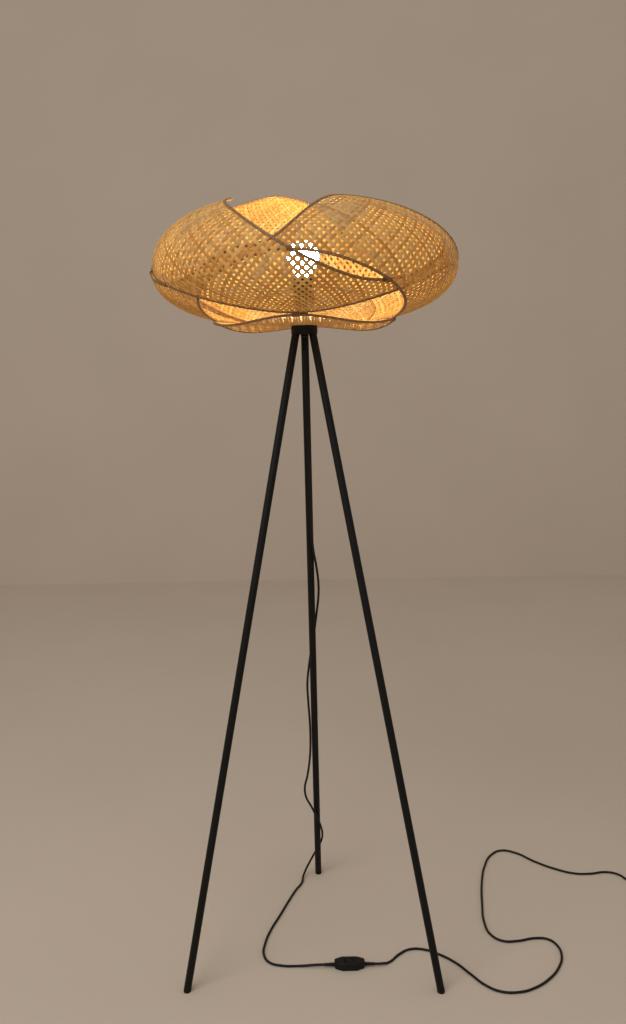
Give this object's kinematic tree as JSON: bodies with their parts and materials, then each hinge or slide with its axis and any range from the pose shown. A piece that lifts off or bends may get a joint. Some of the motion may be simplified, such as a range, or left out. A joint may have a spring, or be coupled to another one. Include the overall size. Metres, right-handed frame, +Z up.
{
  "type": "floor lamp",
  "caption": "Floor lamp with a round shade of interlaced woven bamboo bands on a slim black tripod, with a cord, an inline rocker switch and a plug.",
  "frame": {"origin": "on the floor under the lamp's axis", "axes": "+Z up along the lamp's axis, the front of the lamp towards -Y, the cord leaves towards +X"},
  "size_m": [1.2466, 0.6815, 1.5452],
  "materials": {
    "bamboo": "natural, thinly varnished strips",
    "cane": "smoked cane splints",
    "black_metal": "satin black powder coat",
    "black_plastic": "fine texture",
    "steel": "zinc plated",
    "brass": "plain",
    "porcelain": "glazed",
    "bulb_glass": "frosted",
    "cord": "smooth round sheath"
  },
  "bodies": {
    "lamp": {"hub": "black_metal", "leg_back": "black_metal", "leg_front_left": "black_metal", "leg_front_right": "black_metal", "foot_back": "black_plastic", "foot_front_left": "black_plastic", "foot_front_right": "black_plastic", "leg_nut_back": "steel", "leg_nut_front_left": "steel", "leg_nut_front_right": "steel", "leg_bolt_back": "steel", "leg_bolt_front_left": "steel", "leg_bolt_front_right": "steel", "threaded_tube": "steel", "tube_nut": "steel", "cord_grip": "black_plastic", "dish_washer_lower": "steel", "dish_washer_upper": "steel", "spacer_sleeve": "black_metal", "holder_cap": "black_plastic", "holder_insert": "porcelain", "holder_shell": "black_plastic", "screw_shell": "brass", "centre_contact": "brass", "bulb_glass": "bulb_glass", "bulb_cap": "brass", "bulb_base": "black_plastic", "petal_front_left": "bamboo", "petal_back_right": "bamboo", "petal_front_right": "bamboo", "petal_back_left": "bamboo", "rim_upper_1": "cane", "rim_lower_1": "cane", "rim_upper_2": "cane", "rim_lower_2": "cane", "dish": "bamboo", "dish_rim": "cane", "lashing_1": "cane", "lashing_2": "cane", "lashing_3": "cane", "lashing_4": "cane", "crossing_pad_1": "cane", "crossing_pad_2": "cane", "crossing_pad_3": "cane", "crossing_pad_4": "cane", "crossing_pad_5": "cane", "crossing_pad_6": "cane", "crossing_pad_7": "cane", "crossing_pad_8": "cane", "switch_base": "black_plastic", "switch_cover": "black_plastic", "cord_lamp_side": "cord", "cord_plug_side": "cord", "cord_coil": "cord", "coil_tie": "black_plastic", "plug_body": "black_plastic", "plug_pin_left": "steel", "plug_pin_right": "steel"},
    "rocker": {"switch_rocker": "black_plastic"}
  },
  "joints": [
    {"name": "rocker_tilt", "type": "hinge", "parent": "lamp", "child": "rocker", "pos_m": [0.07, -0.072, 0.0142], "axis": [0, -1, 0], "range_deg": [0, 16]}
  ]
}
